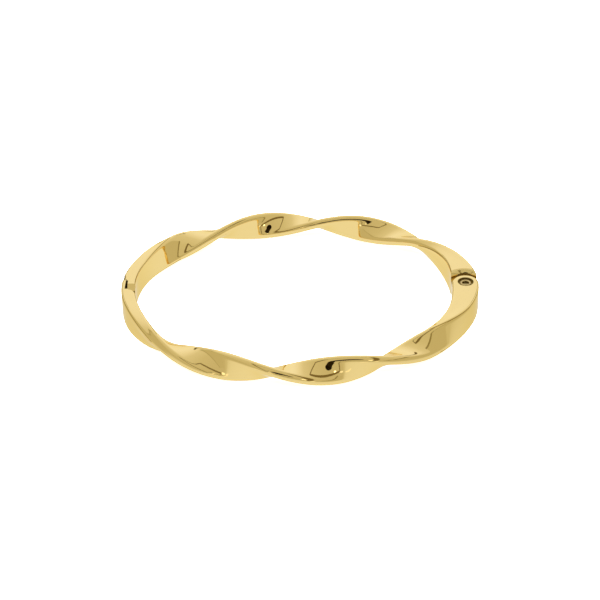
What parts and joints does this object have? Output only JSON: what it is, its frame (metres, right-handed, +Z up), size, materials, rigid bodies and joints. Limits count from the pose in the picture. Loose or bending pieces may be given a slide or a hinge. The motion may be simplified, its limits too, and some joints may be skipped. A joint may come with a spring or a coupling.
{
  "type": "hinged twisted bangle",
  "caption": "Oval bangle of flat twisted bar in two halves, with a pinned hinge at one end and a tongue clasp at the other.",
  "frame": {"origin": "centre of the wrist opening, at half the bangle's height", "axes": "+X from the clasp to the hinge, +Y from the front half to the back half, +Z up out of the wrist opening"},
  "size_m": [0.0661, 0.0556, 0.0052],
  "materials": {
    "bar_gold": "mirror polished yellow gold plate",
    "fitting_gold": "polished yellow gold plate"
  },
  "bodies": {
    "front": {"front_half": "bar_gold", "hinge_pin": "fitting_gold"},
    "back": {"back_half": "bar_gold", "clasp_tongue": "fitting_gold"}
  },
  "joints": [
    {"name": "hinge", "type": "hinge", "parent": "front", "child": "back", "pos_m": [0.031, -0.0001, 0], "axis": [0, 0, -1], "range_deg": [0, 45]}
  ]
}
